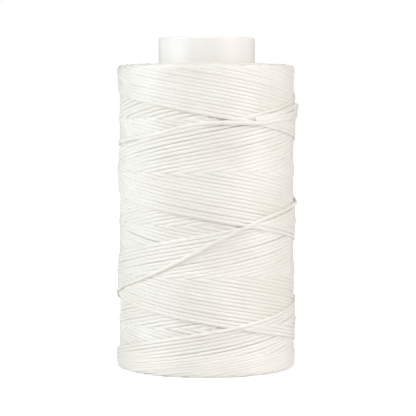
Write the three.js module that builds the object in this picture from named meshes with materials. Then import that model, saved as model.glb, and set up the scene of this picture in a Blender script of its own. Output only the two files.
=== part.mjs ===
// Waxed thread spool: flat waxed thread, cross-wound in twelve double layers on a plain plastic tube.
// Units are millimetres. +Z is the tube's axis, and the origin is the middle of the tube's lower end.
// Angles on the winding are in degrees from the front (-Y), growing towards the right (+X).

import * as THREE from 'three';

// ---- Driving dimensions -------------------------------------------------------------------------

const SEGMENTS = 48;             // flats around every turned piece
const PIECE_GAP = 0.05;          // clearance between neighbouring turned pieces

const TUBE_LENGTH = 94.4;
const TUBE_OUTER_RADIUS = 13.75;
const TUBE_INNER_RADIUS = 11.9;
const RIM_BEVEL = 0.35;          // bevel on the four edges of the tube's ends

const THREAD_WIDTH = 1.0;        // the flat thread, lying on the winding
const THREAD_THICKNESS = 0.5;

const WINDING_BOTTOM = 0.1;      // lower face of the winding
const WINDING_TOP = 86.8;
const WINDING_LOWER_RADIUS = 24.7;   // the winding is a little fatter towards its top
const WINDING_UPPER_RADIUS = 25.5;
const LAYER_COUNT = 12;          // double layers: one stroke up and one stroke down each
const SHOULDER_DROP = 0.5;       // how far the outermost layer's ends fall back
const SHOULDER_SHARPNESS = 6;    // higher values keep the rounding to the last layers

const START_WRAPS_BOTTOM = 8.0;  // first turns, which trap the thread's inner end on the tube
const START_WRAPS_COUNT = 8;

const LAST_WRAP_GAP = 0.3;       // clearance under the thread that lies loose on the winding
const LAST_WRAP_STEPS = 80;
const TUCKED_END_STEPS = 12;
const TUCKED_END_WIDTH = 2.1;    // the end is doubled back, so it is two threads wide
const TUCKED_END_RISE = 1.85;    // from the last wrap's middle to the middle of the doubled end

// The last wrap's route: [angle, height]. It leaves the winding behind the right side, has slipped
// down at the left, climbs steeply over the front, goes round the back and crosses the front again.
const LAST_WRAP_ROUTE = [
  [96, 20.2], [120, 21.3], [145, 21.8], [170, 21.6], [195, 21.0], [220, 20.4],
  [245, 19.9], [258, 19.6], [265, 19.9], [271, 21.8], [283, 23.1], [291, 24.1], [318, 27.6],
  [337, 31.2], [353, 34.9], [364, 37.5], [385, 41.7], [404, 44.5], [438, 47.3],
  [460, 49.1], [490, 51.7], [520, 54.4], [550, 57.1], [580, 59.9], [610, 62.7],
  [633, 64.5], [655, 65.6], [678, 66.7], [692, 67.9], [705, 69.3], [720, 70.4],
  [732, 70.5], [749, 70.4], [757, 70.45], [766, 71.0], [777, 71.5],
  [792, 72.0], [810, 72.6], [822, 73.0],
];

// The tucked end lies along the last wrap's upper edge over these angles: [angle, height].
const TUCKED_END_ROUTE = [
  [760, 71.1], [776, 71.6], [792, 72.1], [810, 72.7], [824, 73.1], [836, 73.5],
];

// ---- Materials ----------------------------------------------------------------------------------

const plastic = new THREE.MeshStandardMaterial({ color: 0xf0ede5, roughness: 0.42, metalness: 0 });
const thread = new THREE.MeshStandardMaterial({ color: 0xf4f1e7, roughness: 0.6, metalness: 0 });

// ---- The winding's shape ------------------------------------------------------------------------

// Outer radius of the finished winding at a height.
function windingRadius(height) {
  const along = (height - WINDING_BOTTOM) / (WINDING_TOP - WINDING_BOTTOM);
  return THREE.MathUtils.lerp(WINDING_LOWER_RADIUS, WINDING_UPPER_RADIUS, along);
}

// Radius and height of one corner of the winding when a fraction of its layers has been laid.
function windingCorner(laid, atTop) {
  const drop = SHOULDER_DROP * laid ** SHOULDER_SHARPNESS;
  const height = atTop ? WINDING_TOP - drop : WINDING_BOTTOM + drop;
  const radius = THREE.MathUtils.lerp(TUBE_OUTER_RADIUS, windingRadius(height), laid);
  return new THREE.Vector2(radius, height);
}

// ---- Building blocks ----------------------------------------------------------------------------

// A closed profile of [radius, height] points, turned about the Z axis.
function turned(profile) {
  const closed = [...profile, profile[0]];
  const geometry = new THREE.LatheGeometry(closed, SEGMENTS);
  geometry.rotateX(Math.PI / 2);
  return geometry;
}

function namedMesh(name, geometry, material) {
  const mesh = new THREE.Mesh(geometry, material);
  mesh.name = name;
  return mesh;
}

// A route laid on the winding. Its frames keep a flat thread's broad side against the surface.
class WoundRoute extends THREE.Curve {
  constructor(route, rise = 0) {
    super();
    const unrolled = route.map(([angle, height]) => new THREE.Vector3(angle, height + rise, 0));
    this.unrolled = new THREE.CatmullRomCurve3(unrolled);
  }

  getPoint(along) {
    const { x: angle, y: height } = this.unrolled.getPoint(along);
    const turn = THREE.MathUtils.degToRad(angle);
    const radius = windingRadius(height) + LAST_WRAP_GAP + THREAD_THICKNESS / 2;
    return new THREE.Vector3(radius * Math.sin(turn), -radius * Math.cos(turn), height);
  }

  computeFrenetFrames(steps) {
    const frames = { tangents: [], normals: [], binormals: [] };
    for (let step = 0; step <= steps; step += 1) {
      const tangent = this.getTangentAt(step / steps);
      const outward = this.getPointAt(step / steps).setZ(0).normalize();
      const normal = outward.addScaledVector(tangent, -outward.dot(tangent)).normalize();
      frames.tangents.push(tangent);
      frames.normals.push(normal);
      frames.binormals.push(new THREE.Vector3().crossVectors(tangent, normal));
    }
    return frames;
  }
}

// A flat thread's eight-sided section: its thickness along X and its width along Y.
function flatSection(thickness, width) {
  const halfThickness = thickness / 2;
  const halfWidth = width / 2;
  const flat = 0.35 * thickness;       // height of the narrow sides
  const edge = 0.4 * thickness;        // how far the broad sides stop short of the narrow ones
  return new THREE.Shape([
    new THREE.Vector2(halfThickness, -halfWidth + edge),
    new THREE.Vector2(halfThickness, halfWidth - edge),
    new THREE.Vector2(flat / 2, halfWidth),
    new THREE.Vector2(-flat / 2, halfWidth),
    new THREE.Vector2(-halfThickness, halfWidth - edge),
    new THREE.Vector2(-halfThickness, -halfWidth + edge),
    new THREE.Vector2(-flat / 2, -halfWidth),
    new THREE.Vector2(flat / 2, -halfWidth),
  ]);
}

function flatBand(route, width, steps) {
  const section = flatSection(THREAD_THICKNESS, width);
  return new THREE.ExtrudeGeometry(section, { steps, extrudePath: route });
}

// ---- Pieces -------------------------------------------------------------------------------------

function coreTube() {
  return turned([
    new THREE.Vector2(TUBE_INNER_RADIUS + RIM_BEVEL, 0),
    new THREE.Vector2(TUBE_OUTER_RADIUS - RIM_BEVEL, 0),
    new THREE.Vector2(TUBE_OUTER_RADIUS, RIM_BEVEL),
    new THREE.Vector2(TUBE_OUTER_RADIUS, TUBE_LENGTH - RIM_BEVEL),
    new THREE.Vector2(TUBE_OUTER_RADIUS - RIM_BEVEL, TUBE_LENGTH),
    new THREE.Vector2(TUBE_INNER_RADIUS + RIM_BEVEL, TUBE_LENGTH),
    new THREE.Vector2(TUBE_INNER_RADIUS, TUBE_LENGTH - RIM_BEVEL),
    new THREE.Vector2(TUBE_INNER_RADIUS, RIM_BEVEL),
  ]);
}

const START_WRAPS_TOP = START_WRAPS_BOTTOM + START_WRAPS_COUNT * THREAD_WIDTH;
const START_WRAPS_RADIUS = TUBE_OUTER_RADIUS + PIECE_GAP + THREAD_THICKNESS;

function startWraps() {
  return turned([
    new THREE.Vector2(TUBE_OUTER_RADIUS + PIECE_GAP, START_WRAPS_BOTTOM),
    new THREE.Vector2(START_WRAPS_RADIUS, START_WRAPS_BOTTOM),
    new THREE.Vector2(START_WRAPS_RADIUS, START_WRAPS_TOP),
    new THREE.Vector2(TUBE_OUTER_RADIUS + PIECE_GAP, START_WRAPS_TOP),
  ]);
}

// One double layer: a sleeve between two radii. The first one also clears the start wraps.
function threadLayer(index) {
  const inner = index / LAYER_COUNT;
  const outer = (index + 1) / LAYER_COUNT;
  const clearance = new THREE.Vector2(PIECE_GAP, 0);
  const innerBottom = windingCorner(inner, false).add(clearance);
  const innerTop = windingCorner(inner, true).add(clearance);
  const profile = [innerBottom, windingCorner(outer, false), windingCorner(outer, true), innerTop];
  if (index === 0) {
    const recess = START_WRAPS_RADIUS + PIECE_GAP;
    profile.push(
      new THREE.Vector2(innerTop.x, START_WRAPS_TOP + PIECE_GAP),
      new THREE.Vector2(recess, START_WRAPS_TOP + PIECE_GAP),
      new THREE.Vector2(recess, START_WRAPS_BOTTOM - PIECE_GAP),
      new THREE.Vector2(innerTop.x, START_WRAPS_BOTTOM - PIECE_GAP),
    );
  }
  return turned(profile);
}

function lastWrap() {
  return flatBand(new WoundRoute(LAST_WRAP_ROUTE), THREAD_WIDTH, LAST_WRAP_STEPS);
}

function tuckedEnd() {
  const route = new WoundRoute(TUCKED_END_ROUTE, TUCKED_END_RISE);
  return flatBand(route, TUCKED_END_WIDTH, TUCKED_END_STEPS);
}

// ---- The spool ----------------------------------------------------------------------------------

const spool = new THREE.Group();
spool.add(namedMesh('core_tube', coreTube(), plastic));
spool.add(namedMesh('start_wraps', startWraps(), thread));
for (let index = 0; index < LAYER_COUNT; index += 1) {
  const number = String(index + 1).padStart(2, '0');
  spool.add(namedMesh(`thread_layer_${number}`, threadLayer(index), thread));
}
spool.add(namedMesh('last_wrap', lastWrap(), thread));
spool.add(namedMesh('tucked_end', tuckedEnd(), thread));

export default spool;
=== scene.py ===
"""A waxed thread spool: flat waxed thread, cross-wound in twelve double layers on a plastic tube.

The thread is laid the way a winder lays it. A height map of the winding starts as the bare tube. Each
stroke of thread, three turns up or three turns down, is laid on what is there already and is then
added to the map, so strands cross, interleave and step up where the real ones do.

Lengths are in millimetres and angles in degrees until a mesh is made. Angle 0 is the front (-Y), and
angles grow towards the right (+X).
"""
import math

import bpy
import numpy as np
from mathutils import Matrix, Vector


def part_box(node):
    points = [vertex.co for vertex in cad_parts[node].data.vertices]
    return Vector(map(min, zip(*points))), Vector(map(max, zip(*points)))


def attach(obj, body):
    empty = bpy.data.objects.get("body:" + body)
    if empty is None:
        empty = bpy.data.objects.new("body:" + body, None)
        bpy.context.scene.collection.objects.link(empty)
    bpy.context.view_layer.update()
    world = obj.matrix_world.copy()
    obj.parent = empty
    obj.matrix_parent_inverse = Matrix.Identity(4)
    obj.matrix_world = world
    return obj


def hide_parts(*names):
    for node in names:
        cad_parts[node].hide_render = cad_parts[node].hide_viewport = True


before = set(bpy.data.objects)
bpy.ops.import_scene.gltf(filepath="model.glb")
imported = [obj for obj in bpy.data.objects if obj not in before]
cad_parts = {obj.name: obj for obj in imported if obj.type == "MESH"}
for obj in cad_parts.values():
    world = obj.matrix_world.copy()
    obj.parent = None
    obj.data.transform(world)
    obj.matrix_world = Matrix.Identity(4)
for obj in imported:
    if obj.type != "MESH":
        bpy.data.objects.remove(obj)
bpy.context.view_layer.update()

MM = 0.001


def node_box(name):
    """A CAD node's lowest and highest corners, in millimetres."""
    low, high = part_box(name)
    return np.array(low) / MM, np.array(high) / MM


# ---- Sizes --------------------------------------------------------------------------------------

TUBE_RADIUS, _, TUBE_LENGTH = node_box("core_tube")[1]
BORE_RADIUS = 11.9
RIM_ROUNDING = 0.45

WINDING_BOTTOM, WINDING_TOP = (corner[2] for corner in node_box("thread_layer_01"))
WINDING_MIDDLE = (WINDING_BOTTOM + WINDING_TOP) / 2
START_WRAPS_BOTTOM, START_WRAPS_TOP = (corner[2] for corner in node_box("start_wraps"))

THREAD_WIDTH = 1.1
THREAD_THICKNESS = 0.42
SECTION_POWER = 2.5          # 2 is an ellipse, and higher values are boxier
SEEN_WIDTH = 1.14            # the thread that is seen spreads against its neighbours
SEEN_POWER = 2.0             # and bulges out between them
WIDER_AT_TOP = 0.08          # it spreads this much more at the top, and less at the bottom
FLOOR_GAP = 0.05             # no thread hangs lower than this: the tube carries the spool
BULGE = 1.35                 # this much thicker than where it is pressed down
PLUMP_THICKNESS = 0.5        # the thread's free end, which nothing lies on
FATTER_AT_TOP = 0.05         # the strands build up this much more at the top, and less at the bottom

# ---- The winder's law ---------------------------------------------------------------------------

LAYERS = 12
STRANDS_PER_LEAD = 27.5      # neighbouring strands that fill the gap left by one turn's rise
TURNS_PER_STROKE = 3 - 0.5 / STRANDS_PER_LEAD
STROKES_PER_LAYER = 55
STROKES = LAYERS * STROKES_PER_LAYER
STROKE_ANGLE = 360 * TURNS_PER_STROKE
UP_ANGLE = 1062.0            # upward strokes are a little steeper than the mean
DOWN_ANGLE = 2 * STROKE_ANGLE - UP_ANGLE    # and downward ones a little less steep
LAST_STROKE_START = -167.0   # where the last stroke, an upward one, leaves the lower end
REVERSAL_ANGLE = 9.0         # the thread turns round over this angle each side of the end
# How far the guide drops behind an even pace on its way up: (how far, from which height, to which).
GUIDE_LAGS = ((1.2, 0.5, 8.0), (1.4, 20.0, 34.0), (-2.3, 62.0, 87.0))
END_INSET = 0.03             # from the winding's end to the corner that the reversal cuts off
SHOULDER_DROP = 0.5          # the outermost strokes turn back this much earlier
SHOULDER_SHARPNESS = 6       # the higher it is, the fewer the strokes that do
SHOULDER_REACH = 4.0         # and the drop fades over this height

COLUMNS = 720                # the height map: columns round the winding and rows up it
DEGREES = 360 / COLUMNS
ROW_STEP = 0.2
ROWS = int(TUBE_LENGTH / ROW_STEP)
REACH_ROWS = 3               # rows each side of a strand's middle that it can cover

WANDER = 0.028               # how far a strand strays sideways, in millimetres
WANDER_WAVES = 0.8, 9        # fewest and most waves in one stroke
WAVES_ADDED = 4
WAVES_RMS = 1.4              # the root mean square of that many waves, added up
WANDER_FADE = 40.0           # a strand doesn't stray at its ends, and strays fully this far on
END_SCATTER = 0.15           # how much the reversals differ

CREST_REACH = 0.85           # a strand lies on its highest support this near its middle (edge: 1)
CREST_SHARE = 0.3            # as much as this, and otherwise on the mean of what is under it
TILT_SHARE = 0.5             # how far it leans with what is under it
MOST_TILT = 0.14
SAG_WINDOW = 1.3             # a taut strand bridges dips shorter than twice this
PACKING = 0.2                # how strongly strands even out the winding's hills and dips
PACKING_LIMITS = 0.4, 1.3    # a packed strand's thickness, compared with a free one's
# The rows that every layer reaches, which give the winding's own level.
LOWEST_ROW = math.ceil((WINDING_BOTTOM + SHOULDER_DROP) / ROW_STEP)
HIGHEST_ROW = int((WINDING_TOP - SHOULDER_DROP) / ROW_STEP)
WOUND_HEIGHTS = np.arange(LOWEST_ROW, HIGHEST_ROW) * ROW_STEP

MESHED_STROKES = 64          # the newest strokes, which are made as real thread over all their length

rng = np.random.default_rng(20)


def eased(value, low, high):
    """0 below low, 1 above high and a smooth change between them."""
    part = np.clip((value - low) / (high - low), 0, 1)
    return part * part * (3 - 2 * part)


def stroke_route(stroke):
    """Column numbers, counted on from turn to turn, and heights of a stroke's middle line."""
    upward = (STROKES - 1 - stroke) % 2 == 0
    turned = UP_ANGLE if upward else DOWN_ANGLE
    start = LAST_STROKE_START + (stroke - STROKES + 1) * STROKE_ANGLE
    if not upward:
        start += STROKE_ANGLE - DOWN_ANGLE
    first = math.ceil(start / DEGREES)
    last = math.ceil((start + turned) / DEGREES)
    column = np.arange(first, last)
    along = column * DEGREES - start

    laid = stroke / STROKES
    drop = SHOULDER_DROP * laid ** SHOULDER_SHARPNESS + END_SCATTER * np.abs(rng.normal(size=2))
    rise = (WINDING_TOP - WINDING_BOTTOM + 2 * END_INSET) / turned

    def from_end(angle, end_drop):
        """How far from the winding's end the stroke is, rounded where it turns round."""
        rounded = (angle ** 2 + REVERSAL_ANGLE ** 2) / (2 * REVERSAL_ANGLE)
        distance = rise * np.where(angle < REVERSAL_ANGLE, rounded, angle)
        return distance + end_drop * np.exp(-distance / SHOULDER_REACH)

    before, after = along, turned - along
    low, high = (before, after) if upward else (after, before)
    from_bottom = from_end(low, drop[0])
    from_top = from_end(high, drop[1])
    bottom_height = WINDING_BOTTOM - END_INSET + from_bottom
    top_height = WINDING_TOP + END_INSET - from_top
    height = np.where(low < high, bottom_height, top_height)
    if upward:
        height = height - sum(lag * eased(height, first_height, last_height)
                              for lag, first_height, last_height in GUIDE_LAGS)

    stray = np.zeros(len(column))
    for waves in rng.uniform(*WANDER_WAVES, size=WAVES_ADDED):
        stray += np.sin(along * math.tau * waves / turned + rng.uniform(0, math.tau))
    fade = np.clip(np.minimum(before, after) / WANDER_FADE, 0, 1)
    return column, height + WANDER * rng.normal() * stray * fade / WAVES_RMS


def running_max(values, reach):
    """The highest of the values up to reach places away."""
    padded = np.pad(values, reach, mode="edge")
    return np.max([padded[i:i + len(values)] for i in range(2 * reach + 1)], axis=0)


def smoothed(values, reach):
    """Values smoothed by a bell curve whose spread is reach places."""
    weights = np.exp(-0.5 * (np.arange(-2 * reach, 2 * reach + 1) / reach) ** 2)
    padded = np.pad(values, 2 * reach, mode="edge")
    return np.convolve(padded, weights / weights.sum(), mode="valid")


def lay(height_map, column, height, thickness, packing=PACKING):
    """Lays one strand on the height map and adds it.

    Gives the radius of its underside, its tilt and its thickness. The waxed strand packs down where
    the winding stands proud of its own level, and stays plump in a dip.
    """
    column = column % COLUMNS
    rows = np.round(height / ROW_STEP).astype(int) + np.arange(-REACH_ROWS, REACH_ROWS + 1)[:, None]
    across = (rows * ROW_STEP - height) / (THREAD_WIDTH / 2)
    below = height_map[rows, column]
    weight = np.clip(1 - across ** 2, 0, None)
    middle = (weight * below).sum(0) / weight.sum(0)
    crest = np.where(np.abs(across) < CREST_REACH, below, 0).max(0)
    support = (1 - CREST_SHARE) * middle + CREST_SHARE * crest
    tilt = (weight * across * (below - middle)).sum(0) / (weight * across ** 2).sum(0)

    step = math.radians(DEGREES) * middle.mean()
    reach = max(1, round(SAG_WINDOW / step))
    support = smoothed((running_max(support, reach) + support) / 2, reach)
    tilt = smoothed(np.clip(TILT_SHARE * tilt, -MOST_TILT, MOST_TILT), reach)

    wound = height_map[LOWEST_ROW:HIGHEST_ROW].mean(axis=1)
    level = np.polyval(np.polyfit(WOUND_HEIGHTS, wound, 1), height)
    packed = 1 - packing * (support - level) / THREAD_THICKNESS
    thickness = thickness * np.clip(packed, *PACKING_LIMITS)

    edge = np.clip(1 - np.abs(across) ** SECTION_POWER, 0, None) ** (1 / SECTION_POWER)
    surface = support + tilt * across + thickness / 2 * (1 + edge)
    covered = np.abs(across) < 1
    height_map[rows, column] = np.where(covered, np.maximum(below, surface), below)
    return support, tilt, thickness


def thickness_at(height):
    return THREAD_THICKNESS * (1 + FATTER_AT_TOP * (height - WINDING_MIDDLE) / WINDING_MIDDLE)


def wind():
    """Lays all strokes on the tube.

    Gives each stroke's rows of (angle, height, radius of its middle, tilt, thickness), the height map
    after each layer, with the start wraps as layer 0, and the maps under and over the newest strokes.
    """
    height_map = np.full((ROWS, COLUMNS), TUBE_RADIUS)
    for angle, height in start_wraps_turns():
        lay(height_map, np.round(angle / DEGREES).astype(int), height, THREAD_THICKNESS)
    after_layer = [height_map.copy()]
    strokes = []
    under_newest = None
    for stroke in range(STROKES):
        if stroke == STROKES - MESHED_STROKES:
            under_newest = height_map.copy()
        column, height = stroke_route(stroke)
        thickness, packing = thickness_at(height), PACKING
        if stroke == STROKES - 1:   # it runs into the last wrap, which goes on from there
            kept = column * DEGREES <= LAST_WRAP_ROUTE[0][0]
            column, height = column[kept], height[kept]
            thickness, packing = PLUMP_THICKNESS, 0
        support, tilt, thickness = lay(height_map, column, height, thickness, packing)
        radius = support + thickness / 2
        strokes.append(np.stack([column * DEGREES, height, radius, tilt, thickness], axis=1))
        if (stroke + 1) % STROKES_PER_LAYER == 0:
            after_layer.append(height_map.copy())
    return strokes, after_layer, under_newest, height_map


def start_wraps_turns():
    """The first close turns, one at a time, as angles and heights."""
    turns = round(START_WRAPS_TOP - START_WRAPS_BOTTOM)
    angle = np.arange(0, 360, DEGREES)
    for turn in range(turns):
        yield angle + 360 * turn, START_WRAPS_BOTTOM + 0.5 + turn + 0 * angle


# ---- The last wrap ------------------------------------------------------------------------------

# The route of the thread that lies loose on the winding: (angle, height). It has slipped down at the
# left, climbs steeply over the front, goes round the back and crosses the front again.
LAST_WRAP_ROUTE = [
    (96, 20.2), (120, 21.3), (145, 21.8), (170, 21.6), (195, 21.0), (220, 20.4),
    (245, 19.9), (258, 19.6), (265, 19.9), (268.5, 20.8), (271, 21.8), (276, 22.5), (283, 23.1),
    (291, 24.1), (318, 27.6), (337, 31.2), (353, 34.9), (364, 37.5), (385, 41.7), (404, 44.5),
    (438, 47.3), (460, 49.1), (490, 51.7), (520, 54.4), (550, 57.1), (580, 59.9), (610, 62.7),
    (633, 64.5), (655, 65.6), (678, 66.7), (692, 67.9), (705, 69.3), (720, 70.4), (732, 70.5),
    (749, 70.4), (757, 70.45), (766, 71.0), (777, 71.5), (792, 72.0), (810, 72.6), (822, 73.0),
]
# Where the last wrap stands off the winding: (angle, spread, lift, twist).
SLACKS = ((270.0, 6.0, 0.15, 10.0), (441.0, 8.0, 0.6, 0.0))
LAST_WRAP_STEPS = 40         # between neighbouring points of its route

# The thread's end, doubled back beside the last wrap and tucked: (angle, height, lift, twist).
TUCKED_END_ROUTE = [
    (821, 72.95, 0.02, 0), (828, 73.15, 0.1, 30), (833, 73.5, 0.3, 60), (834.5, 73.8, 0.35, 60),
    (832, 74.1, 0.3, 50), (826, 73.9, 0.1, 20), (812, 73.55, 0, 0), (800, 73.35, 0, 0),
    (791, 73.05, 0, 0), (776, 72.4, 0, 0), (766, 71.85, 0, 0), (759, 71.4, 0, 0),
    (754, 71.3, -0.1, 0), (752, 71.5, -0.2, 0), (754, 71.75, -0.1, 0), (759, 72.2, 0.04, 0),
    (767, 72.8, 0.02, 0), (776, 73.4, 0.02, 0), (783, 74.0, 0.05, 0), (789, 74.5, 0.1, 0),
    (794, 75.0, 0.2, 10), (799, 75.25, 0.3, 20), (803.5, 75.1, 0.4, 30), (805.5, 74.6, 0.45, 20),
    (803.5, 74.15, 0.4, 0), (799, 74.15, 0.25, 0), (794, 74.0, 0.15, 0),
]
TUCKED_END_STEPS = 10
TUCKED_END_HALF_WIDTH = 0.3  # the part of it that rests on the winding
TUCKED_END_SMOOTHING = 4


def through(points, steps):
    """A smooth line through points, with that many steps between neighbours (Catmull-Rom)."""
    points = np.array(points, float)
    padded = np.concatenate([2 * points[:1] - points[1:2], points, 2 * points[-1:] - points[-2:-1]])
    t = np.arange(steps)[:, None] / steps
    line = []
    for p0, p1, p2, p3 in zip(padded, padded[1:], padded[2:], padded[3:]):
        bend = (2 * p0 - 5 * p1 + 4 * p2 - p3) * t ** 2 + (3 * p1 - p0 - 3 * p2 + p3) * t ** 3
        line.append(p1 + ((p2 - p0) * t + bend) / 2)
    return np.concatenate(line + [points[-1:]])


def radius_at(height_map, angle, height):
    """The surface's radius at angles and heights, between the map's own points."""
    column = np.asarray(angle) / DEGREES
    row = np.asarray(height) / ROW_STEP
    c0, r0 = np.floor(column).astype(int), np.floor(row).astype(int)
    fc, fr = column - c0, row - r0
    left, right = c0 % COLUMNS, (c0 + 1) % COLUMNS
    low = height_map[r0, left] * (1 - fc) + height_map[r0, right] * fc
    high = height_map[r0 + 1, left] * (1 - fc) + height_map[r0 + 1, right] * fc
    return low * (1 - fr) + high * fr


def last_wrap_line(height_map):
    """The last wrap's rows, as wind() gives a stroke's, and its twist, laid over the winding."""
    route = through(LAST_WRAP_ROUTE, LAST_WRAP_STEPS)
    column = np.arange(math.ceil(route[0, 0] / DEGREES), int(route[-1, 0] / DEGREES) + 1)
    angle = column * DEGREES
    height = np.interp(angle, route[:, 0], route[:, 1])
    lift = twist = 0 * angle
    for middle, spread, most_lift, most_twist in SLACKS:
        slack = np.exp(-((angle - middle) / spread) ** 2)
        lift = lift + most_lift * slack
        twist = twist + most_twist * slack
    support, tilt, thickness = lay(height_map, column, height, PLUMP_THICKNESS, 0)
    radius = support + thickness / 2 + lift
    return np.stack([angle, height, radius, tilt, thickness], axis=1), twist


def tucked_end_line(height_map):
    """The tucked end's rows, as wind() gives a stroke's, and its twist."""
    angle, height, lift, twist = through(TUCKED_END_ROUTE, TUCKED_END_STEPS).T
    across = (-TUCKED_END_HALF_WIDTH, 0, TUCKED_END_HALF_WIDTH)
    base = np.max([radius_at(height_map, angle, height + step) for step in across], axis=0)
    radius = smoothed(base, TUCKED_END_SMOOTHING) + THREAD_THICKNESS / 2 + lift
    return np.stack([angle, height, radius, 0 * angle, 0 * angle + THREAD_THICKNESS], axis=1), twist


# ---- Making meshes ------------------------------------------------------------------------------

def add_mesh(name, points, faces, slot_name, material, corner_uv=None):
    """A piece from points in millimetres. It rides on the body and takes a material; slot_name is not
    used.
    """
    mesh = bpy.data.meshes.new(name)
    mesh.from_pydata((np.asarray(points) * MM).tolist(), [], faces)
    if corner_uv is not None:
        layer = mesh.uv_layers.new(name="thread_lay")
        layer.uv.foreach_set("vector", np.asarray(corner_uv, np.float32).ravel())
    mesh.polygons.foreach_set("use_smooth", [True] * len(mesh.polygons))
    mesh.materials.append(material)
    piece = bpy.data.objects.new(name, mesh)
    bpy.context.scene.collection.objects.link(piece)
    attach(piece, "root")
    return piece


def section(sides):
    """A flat thread's outline as (across, outward) pairs from -1 to 1, starting underneath."""
    turn = (np.arange(sides) + 0.5) * math.tau / sides - math.pi / 2
    power = 2 / SEEN_POWER
    cos, sin = np.cos(turn), np.sin(turn)
    return np.sign(cos) * np.abs(cos) ** power, np.sign(sin) * np.abs(sin) ** power


def centre_points(line):
    """A thread's middle line as points, and the outward direction at each."""
    angle, height, radius = line[:, :3].T
    turn = np.radians(angle)
    outward = np.stack([np.sin(turn), -np.cos(turn), 0 * turn], axis=1)
    centre = outward * radius[:, None]
    centre[:, 2] = height
    return centre, outward


def thread_rings(line, twist, sides):
    """Rings of points round a thread's line, and the length along it at each ring."""
    centre, outward = centre_points(line)
    tangent = np.gradient(centre, axis=0)
    tangent /= np.linalg.norm(tangent, axis=1, keepdims=True)
    side = np.cross(outward, tangent)
    side /= np.linalg.norm(side, axis=1, keepdims=True)
    up = np.cross(tangent, side)
    lean = (np.arctan(line[:, 3] * 2 / THREAD_WIDTH) + np.radians(twist))[:, None]
    leant_side = side * np.cos(lean) + up * np.sin(lean)
    leant_up = up * np.cos(lean) - side * np.sin(lean)
    across, out = section(sides)
    width = SEEN_WIDTH * (1 + WIDER_AT_TOP * (line[:, 1] - WINDING_MIDDLE) / WINDING_MIDDLE)
    wide = width[:, None, None] / 2 * across[None, :, None] * leant_side[:, None, :]
    thick = BULGE * line[:, 4, None, None] / 2 * out[None, :, None] * leant_up[:, None, :]
    along = np.concatenate([[0], np.cumsum(np.linalg.norm(np.diff(centre, axis=0), axis=1))])
    return centre[:, None, :] + wide + thick, along


def closed_tube(along, sides, first, shade):
    """A closed tube's faces, and a (length along, place round + shade) pair for each face corner."""
    rings = len(along)
    ring = np.arange(rings - 1)[:, None]
    here = np.arange(sides)[None, :]
    beside = (here + 1) % sides
    around = [(ring, here), (ring, beside), (ring + 1, beside), (ring + 1, here)]
    faces = np.stack([first + r * sides + s for r, s in around], axis=2).reshape(-1, 4).tolist()
    faces.append([first + i for i in reversed(range(sides))])
    faces.append([first + (rings - 1) * sides + i for i in range(sides)])
    place = [(ring, here), (ring, here + 1), (ring + 1, here + 1), (ring + 1, here)]
    uv = np.stack([np.stack(np.broadcast_arrays(along[r], shade + s / sides), axis=-1)
                   for r, s in place], axis=2).reshape(-1, 2)
    ends = [[along[0], shade + 0.5]] * sides + [[along[-1], shade + 0.5]] * sides
    return faces, np.concatenate([uv, ends])


def thread_parts(lines, twists, sides):
    """Points, faces and corner UVs of one or more lengths of thread."""
    points, faces, uvs = [], [], []
    count = 0
    for number, line in enumerate(lines):
        twist = np.zeros(len(line)) if twists is None else twists[number]
        rings, along = thread_rings(line, twist, sides)
        rings[..., 2] = np.maximum(rings[..., 2], FLOOR_GAP)
        more_faces, uv = closed_tube(along, sides, count, number)
        points.append(rings.reshape(-1, 3))
        faces += more_faces
        uvs.append(uv)
        count += rings.shape[0] * sides
    return np.concatenate(points), faces, np.concatenate(uvs)


def sleeve_parts(inner, outer, bottom, top, around, up, first):
    """A closed sleeve between two height maps, as points and faces. It stays hidden under thread."""
    angle = np.arange(around) * 360 / around
    height = np.linspace(bottom, top, up)
    grid_angle, grid_height = np.meshgrid(angle, height, indexing="ij")
    outside = radius_at(outer, grid_angle, grid_height)
    inside = radius_at(inner, grid_angle, grid_height)
    radius = np.concatenate([outside, inside[:, ::-1]], axis=1)
    level = np.concatenate([grid_height, grid_height[:, ::-1]], axis=1)
    turn = np.radians(grid_angle[:, :1])
    points = np.stack([radius * np.sin(turn), -radius * np.cos(turn), level], axis=2)
    i = np.arange(around)[:, None]
    j = np.arange(2 * up)[None, :]
    next_i, next_j = (i + 1) % around, (j + 1) % (2 * up)
    corners = [(i, j), (next_i, j), (next_i, next_j), (i, next_j)]
    faces = np.stack([first + a * 2 * up + b for a, b in corners], axis=2).reshape(-1, 4)
    return points.reshape(-1, 3), faces.tolist()


def turned_piece(name, profile, segments, slot_name, material):
    """A piece turned from a closed profile of (radius, height) points, listed anticlockwise."""
    profile = np.array(profile)
    turn = np.arange(segments) * math.tau / segments
    radius = profile[None, :, 0]
    x, y = radius * np.sin(turn)[:, None], -radius * np.cos(turn)[:, None]
    points = np.stack([x, y, np.broadcast_to(profile[None, :, 1], x.shape)], axis=2)
    i = np.arange(segments)[:, None]
    j = np.arange(len(profile))[None, :]
    next_i, next_j = (i + 1) % segments, (j + 1) % len(profile)
    corners = [(i, j), (next_i, j), (next_i, next_j), (i, next_j)]
    faces = np.stack([a * len(profile) + b for a, b in corners], axis=2).reshape(-1, 4)
    return add_mesh(name, points.reshape(-1, 3), faces.tolist(), slot_name, material)


# ---- Materials ----------------------------------------------------------------------------------

def new_material(name):
    """A material with its node tree, its Principled shader and a helper that adds linked nodes."""
    material = bpy.data.materials.new(name)
    material.use_nodes = True
    tree = material.node_tree
    shader = tree.nodes["Principled BSDF"]

    def add(kind, settings=None, **inputs):
        node = tree.nodes.new(kind)
        for key, value in (settings or {}).items():
            setattr(node, key, value)
        for key, value in inputs.items():
            socket = node.inputs[int(key[1:])] if key[0] == "i" and key[1:].isdigit() else node.inputs[key]
            if isinstance(value, bpy.types.NodeSocket):
                tree.links.new(value, socket)
            else:
                socket.default_value = value
        return node

    return material, tree, shader, add


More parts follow.
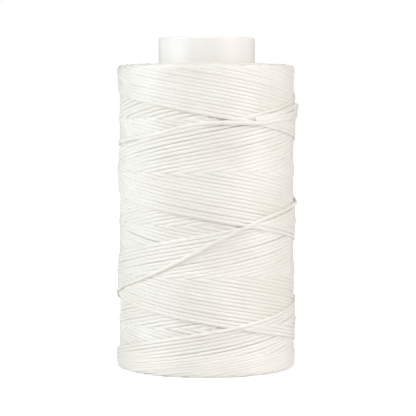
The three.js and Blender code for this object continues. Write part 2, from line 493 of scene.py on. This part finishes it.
def thread_material():
    """Waxed polyester: ivory, finely fibrous along the thread, each length a touch different."""
    material, tree, shader, add = new_material("waxed_thread")
    uv = add("ShaderNodeUVMap", {"uv_map": "thread_lay"}).outputs["UV"]
    split = add("ShaderNodeSeparateXYZ", i0=uv)
    position = add("ShaderNodeTexCoord").outputs["Object"]

    patches = add("ShaderNodeTexNoise", Vector=position, Scale=60.0, Detail=2.0)
    length_number = add("ShaderNodeMath", {"operation": "FLOOR"}, i0=split.outputs["Y"])
    each_length = add("ShaderNodeTexWhiteNoise", {"noise_dimensions": "1D"}, W=length_number.outputs[0])
    blend = add("ShaderNodeMath", {"operation": "MULTIPLY_ADD"},
                i0=each_length.outputs["Value"], i1=0.35, i2=patches.outputs[0])
    tint = add("ShaderNodeValToRGB", i0=blend.outputs[0])
    tint.color_ramp.elements[0].position = 0.3
    tint.color_ramp.elements[0].color = (0.80, 0.77, 0.69, 1)
    tint.color_ramp.elements[1].position = 0.85
    tint.color_ramp.elements[1].color = (0.90, 0.88, 0.818, 1)
    tree.links.new(tint.outputs["Color"], shader.inputs["Base Color"])

    stretched = add("ShaderNodeCombineXYZ",
                    i0=add("ShaderNodeMath", {"operation": "MULTIPLY"},
                           i0=split.outputs["X"], i1=0.55).outputs[0],
                    i1=add("ShaderNodeMath", {"operation": "MULTIPLY"},
                           i0=split.outputs["Y"], i1=16.0).outputs[0])
    fibres = add("ShaderNodeTexNoise", Vector=stretched.outputs[0], Scale=1.6, Detail=4.0)
    bump = add("ShaderNodeBump", Strength=0.7, Distance=0.00012, Height=fibres.outputs[0])
    tree.links.new(bump.outputs["Normal"], shader.inputs["Normal"])
    rough = add("ShaderNodeMapRange", Value=fibres.outputs[0])
    rough.inputs["To Min"].default_value = 0.42
    rough.inputs["To Max"].default_value = 0.62
    tree.links.new(rough.outputs[0], shader.inputs["Roughness"])
    shader.inputs["Coat Weight"].default_value = 0.6
    shader.inputs["Coat Roughness"].default_value = 0.3
    shader.inputs["Sheen Weight"].default_value = 0.12
    shader.inputs["Sheen Roughness"].default_value = 0.4
    return material


def plastic_material():
    """Smooth moulded plastic, off-white and semi-gloss, with faint handling wear."""
    material, tree, shader, add = new_material("core_plastic")
    position = add("ShaderNodeTexCoord").outputs["Object"]
    cloudy = add("ShaderNodeTexNoise", Vector=position, Scale=45.0, Detail=3.0)
    tint = add("ShaderNodeValToRGB", i0=cloudy.outputs[0])
    tint.color_ramp.elements[0].position = 0.35
    tint.color_ramp.elements[0].color = (0.893, 0.877, 0.837, 1)
    tint.color_ramp.elements[1].position = 0.7
    tint.color_ramp.elements[1].color = (0.927, 0.911, 0.871, 1)
    tree.links.new(tint.outputs["Color"], shader.inputs["Base Color"])
    fine = add("ShaderNodeTexNoise", Vector=position, Scale=900.0, Detail=3.0)
    rough = add("ShaderNodeMapRange", Value=fine.outputs[0])
    rough.inputs["To Min"].default_value = 0.3
    rough.inputs["To Max"].default_value = 0.42
    tree.links.new(rough.outputs[0], shader.inputs["Roughness"])
    bump = add("ShaderNodeBump", Strength=0.12, Distance=0.00005, Height=fine.outputs[0])
    tree.links.new(bump.outputs["Normal"], shader.inputs["Normal"])
    return material


def floor_material():
    """A pale floor, over-exposed as it is seen but no brighter than white card to the spool."""
    material, tree, shader, add = new_material("studio_floor")
    shader.inputs["Base Color"].default_value = (0.93, 0.93, 0.925, 1)
    shader.inputs["Roughness"].default_value = 0.9
    shader.inputs["Emission Color"].default_value = (1, 1, 1, 1)
    seen = add("ShaderNodeLightPath").outputs["Is Camera Ray"]
    glow = add("ShaderNodeMapRange", Value=seen)
    glow.inputs["To Min"].default_value = FLOOR_GLOW
    glow.inputs["To Max"].default_value = 1.0
    tree.links.new(glow.outputs[0], shader.inputs["Emission Strength"])
    return material


# ---- Pieces -------------------------------------------------------------------------------------

RING_COLUMNS = 5             # a ring of thread every this many columns of the height map
HIDDEN_RING_COLUMNS = 6      # where it is mostly covered
START_WRAPS_RING_COLUMNS = 10
LAST_WRAP_RING_COLUMNS = 3
SIDES = 10                   # the corners of a ring
HIDDEN_SIDES = 8
FREE_SIDES = 12
OUTER_PIECES = 4             # the newest strokes are shared out between this many pieces
JOIN_SMOOTHING = 5           # columns: how far the radius is evened out where two strokes join
JOIN_REACH = 14              # and how far from the join
END_ARC = 21.0               # the inner layers show only this much thread each side of a reversal
HIDDEN_DEPTH = 0.4           # how far the hidden sleeves lie under the thread
SLEEVE_GAP = 0.03            # the clearance between one sleeve and what lies under it
SLEEVE_END = 1.0             # how far the sleeves stop short of the winding's ends
SLEEVE_GRID = 96, 12         # points round and up a sleeve
OUTERMOST_SLEEVE_GRID = 300, 200    # it comes close under the thread that is seen
TUBE_SEGMENTS = 160


def with_slot(parts, material):
    """Orders a thread's parts as add_mesh takes them."""
    points, faces, uv = parts
    return points, faces, "waxed_thread", material, uv


def last_wrap_piece(height_map, material):
    """The last wrap, its middle line in metres and that line's length."""
    line, twist = last_wrap_line(height_map)
    line, twist = line[::LAST_WRAP_RING_COLUMNS], twist[::LAST_WRAP_RING_COLUMNS]
    parts = thread_parts([line], [twist], FREE_SIDES)
    piece = add_mesh("last_wrap_thread", *with_slot(parts, material))
    path = centre_points(line)[0] * MM
    length = float(np.linalg.norm(np.diff(path, axis=0), axis=1).sum())
    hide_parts("last_wrap")
    return piece, path, length


def tucked_end_piece(height_map, material):
    line, twist = tucked_end_line(height_map)
    parts = thread_parts([line], [twist], FREE_SIDES)
    piece = add_mesh("tucked_end_thread", *with_slot(parts, material))
    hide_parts("tucked_end")
    return piece


def start_wraps_piece(material):
    """The first close turns as one thread, which rises evenly and just fills its ring's height."""
    turns = list(start_wraps_turns())
    angle = np.concatenate([a for a, _ in turns])[::START_WRAPS_RING_COLUMNS]
    height = START_WRAPS_BOTTOM + THREAD_WIDTH / 2 + angle / 360 * (1 - 0.5 / len(turns)) * 0.99
    radius = np.full(len(angle), TUBE_RADIUS + THREAD_THICKNESS / 2 + 0.02)
    line = np.stack([angle, height, radius, 0 * angle, 0 * angle + THREAD_THICKNESS], axis=1)
    parts = thread_parts([line], None, HIDDEN_SIDES)
    piece = add_mesh("start_wraps_thread", *with_slot(parts, material))
    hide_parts("start_wraps")


def even_joins(strokes):
    """Smooths the radius where one stroke runs into the next, and joins the strokes end to end."""
    starts = np.cumsum([0] + [len(s) for s in strokes])
    chain = np.concatenate(strokes)
    evened = smoothed(chain[:, 2], JOIN_SMOOTHING)
    for start in starts[1:-1]:
        near = slice(start - JOIN_REACH, start + JOIN_REACH)
        chain[near, 2] = evened[near]
    return chain, starts


def outer_pieces(chain, starts, material):
    """The newest strokes, as whole thread, in a few pieces that follow each other."""
    cuts = np.linspace(STROKES - MESHED_STROKES, STROKES, OUTER_PIECES + 1).astype(int)
    for number, (first, last) in enumerate(zip(cuts, cuts[1:])):
        line = chain[starts[first]:starts[last] + 1:RING_COLUMNS]
        parts = thread_parts([line], None, SIDES)
        piece = add_mesh(f"outer_thread_{number + 1}", *with_slot(parts, material))
        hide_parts("thread_layer_12")


def layer_piece(layer, chain, starts, inner, outer, material):
    """One inner layer: a hidden sleeve, and the real thread where it turns round at the two ends."""
    arcs = []
    reach = round(END_ARC / DEGREES)
    last_stroke = min(layer * STROKES_PER_LAYER, STROKES - MESHED_STROKES)
    for stroke in range((layer - 1) * STROKES_PER_LAYER + 1, last_stroke + 1):
        middle = starts[stroke]
        arcs.append(chain[middle - reach:middle + reach + 1:HIDDEN_RING_COLUMNS])
    points, faces, uv = thread_parts(arcs, None, HIDDEN_SIDES)
    drop = SHOULDER_DROP * (layer / LAYERS) ** SHOULDER_SHARPNESS
    bottom = WINDING_BOTTOM + SLEEVE_END + drop
    top = WINDING_TOP - SLEEVE_END - drop
    around, up = OUTERMOST_SLEEVE_GRID if layer == LAYERS - 1 else SLEEVE_GRID
    more_points, more_faces = sleeve_parts(inner, outer, bottom, top, around, up, len(points))
    corners = 4 * len(more_faces)
    all_uv = np.concatenate([uv, np.full((corners, 2), 0.5)])
    piece = add_mesh(f"layer_{layer:02d}_thread", np.concatenate([points, more_points]),
                     faces + more_faces, "waxed_thread", material, all_uv)
    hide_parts(f"thread_layer_{layer:02d}")


def arc(centre, start, end, radius, steps=5):
    """Points along an arc, as (radius, height) pairs."""
    turn = np.radians(np.linspace(start, end, steps))
    return [(centre[0] + radius * math.cos(t), centre[1] + radius * math.sin(t)) for t in turn]


def tube_piece(material):
    """The core tube, with its four rim edges rounded."""
    r = RIM_ROUNDING
    outer, inner, top = TUBE_RADIUS, BORE_RADIUS, TUBE_LENGTH
    profile = (arc((outer - r, r), -90, 0, r) + arc((outer - r, top - r), 0, 90, r)
               + arc((inner + r, top - r), 90, 180, r) + arc((inner + r, r), 180, 270, r))
    piece = turned_piece("core_tube_moulded", profile, TUBE_SEGMENTS, "core_plastic", material)
    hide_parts("core_tube")


# ---- Camera, floor and light --------------------------------------------------------------------

# In metres, watts and degrees.
CAMERA_DISTANCE = 0.53
CAMERA_HEIGHT = 0.0756
CAMERA_PITCH = 3.22
CAMERA_SIDE = 0.00037
VIEW_WIDTH = 0.11935         # what the frame spans at the spool's axis

LIGHTS_AIM = (0, 0, 0.045)
SURROUND_COLOUR = (1.0, 0.97, 0.9)
SURROUND_LEVEL = 0.17
LEFT_PLACE = (-0.58, -0.2, 0.4)
LEFT_SIZE = (0.5, 0.4)
LEFT_COLOUR = (0.9, 0.945, 1.0)
LEFT_POWER = 3.6
RIGHT_PLACE = (0.75, -0.45, 0.58)
RIGHT_SIZE = (0.52, 0.52)
RIGHT_COLOUR = (1.0, 0.965, 0.985)
RIGHT_POWER = 6.6
OVERHEAD_LEVEL = 0.66
OVERHEAD_SPREAD = 70.0       # how much of the sky above the light overhead fills
OVERHEAD_TILT = 10.0         # how far it leans towards the front
FLOOR_GLOW = 0.0             # the light the floor itself gives the spool
FLOOR_HALF_WIDTH = 3.0


def add_camera():
    data = bpy.data.cameras.new("photo_view")
    data.sensor_width = 36.0
    data.lens = data.sensor_width * CAMERA_DISTANCE / VIEW_WIDTH
    data.clip_start = 0.01
    camera = bpy.data.objects.new("photo_view", data)
    camera.location = (CAMERA_SIDE, -CAMERA_DISTANCE, CAMERA_HEIGHT)
    camera.rotation_euler = (math.radians(90 - CAMERA_PITCH), 0, 0)
    bpy.context.scene.collection.objects.link(camera)
    bpy.context.scene.camera = camera


def add_area_light(name, location, size, power, colour):
    """A soft rectangular light that faces the middle of the spool."""
    data = bpy.data.lights.new(name, "AREA")
    data.shape = "RECTANGLE"
    data.size, data.size_y = size
    data.energy = power
    data.color = colour
    light = bpy.data.objects.new(name, data)
    light.location = location
    direction = Vector(LIGHTS_AIM) - Vector(location)
    light.rotation_euler = direction.to_track_quat("-Z", "Y").to_euler()
    bpy.context.scene.collection.objects.link(light)


def add_studio():
    """A pale floor, a white surround and three large soft lights."""
    mesh = bpy.data.meshes.new("studio_floor")
    half = FLOOR_HALF_WIDTH
    mesh.from_pydata([(-half, -half, 0), (half, -half, 0), (half, half, 0), (-half, half, 0)],
                     [], [(0, 1, 2, 3)])
    mesh.materials.append(floor_material())
    floor = bpy.data.objects.new("studio_floor", mesh)
    bpy.context.scene.collection.objects.link(floor)

    world = bpy.data.worlds.new("studio")
    world.use_nodes = True
    tree = world.node_tree
    seen = tree.nodes["Background"]
    seen.inputs["Color"].default_value = (1, 1, 1, 1)
    seen.inputs["Strength"].default_value = 1.0
    surround = tree.nodes.new("ShaderNodeBackground")
    surround.inputs["Color"].default_value = (*SURROUND_COLOUR, 1)
    surround.inputs["Strength"].default_value = SURROUND_LEVEL
    mix = tree.nodes.new("ShaderNodeMixShader")
    tree.links.new(tree.nodes.new("ShaderNodeLightPath").outputs["Is Camera Ray"], mix.inputs[0])
    tree.links.new(surround.outputs[0], mix.inputs[1])
    tree.links.new(seen.outputs[0], mix.inputs[2])
    tree.links.new(mix.outputs[0], tree.nodes["World Output"].inputs["Surface"])
    bpy.context.scene.world = world

    add_area_light("left_softbox", LEFT_PLACE, LEFT_SIZE, LEFT_POWER, LEFT_COLOUR)
    add_area_light("right_softbox", RIGHT_PLACE, RIGHT_SIZE, RIGHT_POWER, RIGHT_COLOUR)
    sun = bpy.data.lights.new("overhead_light", "SUN")
    sun.energy = OVERHEAD_LEVEL
    sun.angle = math.radians(OVERHEAD_SPREAD)
    overhead = bpy.data.objects.new("overhead_light", sun)
    overhead.rotation_euler = (math.radians(OVERHEAD_TILT), 0, 0)
    bpy.context.scene.collection.objects.link(overhead)
    bpy.context.scene.view_settings.view_transform = "Standard"


# ---- The spool ----------------------------------------------------------------------------------

add_camera()
waxed_thread = thread_material()
core_plastic = plastic_material()

strokes, after_layer, under_newest, height_map = wind()
last_wrap, last_wrap_path, last_wrap_length = last_wrap_piece(height_map, waxed_thread)
tucked_end = tucked_end_piece(height_map, waxed_thread)

chain, stroke_starts = even_joins(strokes)
outer_pieces(chain, stroke_starts, waxed_thread)
for layer in range(1, LAYERS):
    sunk = HIDDEN_DEPTH if layer > 1 else 0
    beneath = after_layer[layer - 1] - sunk + SLEEVE_GAP
    above = under_newest - SLEEVE_GAP if layer == LAYERS - 1 else after_layer[layer] - HIDDEN_DEPTH
    layer_piece(layer, chain, stroke_starts, beneath, above, waxed_thread)
start_wraps_piece(waxed_thread)
tube_piece(core_plastic)
add_studio()
